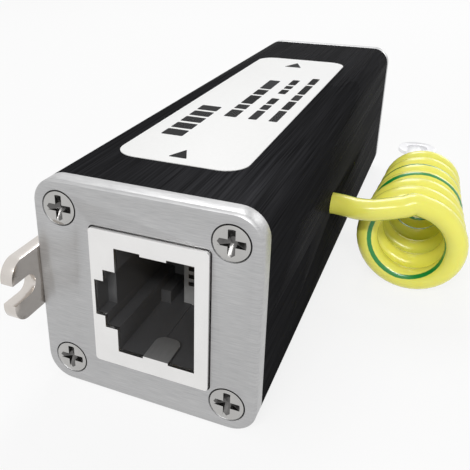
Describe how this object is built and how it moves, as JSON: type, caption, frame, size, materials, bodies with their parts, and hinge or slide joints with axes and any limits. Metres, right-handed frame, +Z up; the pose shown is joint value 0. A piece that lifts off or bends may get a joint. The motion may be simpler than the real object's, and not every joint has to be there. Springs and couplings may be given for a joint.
{
  "type": "ethernet surge protector",
  "caption": "In-line surge protector for a network cable: square metal case, a socket at each end, forked mounting strip and coiled earth lead with a ring terminal.",
  "frame": {"origin": "centre of the case's flat base", "axes": "+X to the right, the side on which the earth lead leaves; +Y from the front socket to the rear socket; +Z up, through the labelled top face"},
  "size_m": [0.0446, 0.1045, 0.0251],
  "materials": {
    "anodised_aluminium": "black anodised, brushed along the case",
    "brushed_plate": "brushed",
    "nickel_steel": "nickel plated",
    "socket_shield": "satin nickel",
    "socket_plastic": "moulded black",
    "gold_contact": "gold flashed",
    "board_laminate": "solder mask",
    "ceramic": "glazed ceramic",
    "strip_metal": "satin",
    "label_film": "printed film",
    "lead_insulation": "smooth, green and yellow",
    "copper_core": "bare strands",
    "tinned_terminal": "tinned"
  },
  "bodies": {
    "root": {"upper_shell": "anodised_aluminium", "lower_shell": "anodised_aluminium", "front_plate": "brushed_plate", "rear_plate": "brushed_plate", "front_plate_screws": "nickel_steel", "rear_plate_screws": "nickel_steel", "front_jack_shield": "socket_shield", "rear_jack_shield": "socket_shield", "front_jack_insert": "socket_plastic", "rear_jack_insert": "socket_plastic", "front_jack_contacts": "gold_contact", "rear_jack_contacts": "gold_contact", "circuit_board": "board_laminate", "gas_tubes": "ceramic", "diode_arrays": "socket_plastic", "mounting_strip": "strip_metal", "strip_screws": "nickel_steel", "label": "label_film", "inner_lead": "lead_insulation", "inner_lead_core": "copper_core", "earth_lead": "lead_insulation", "earth_coil": "lead_insulation", "earth_tail": "lead_insulation", "tail_core": "copper_core", "ring_terminal": "tinned_terminal"}
  },
  "joints": []
}
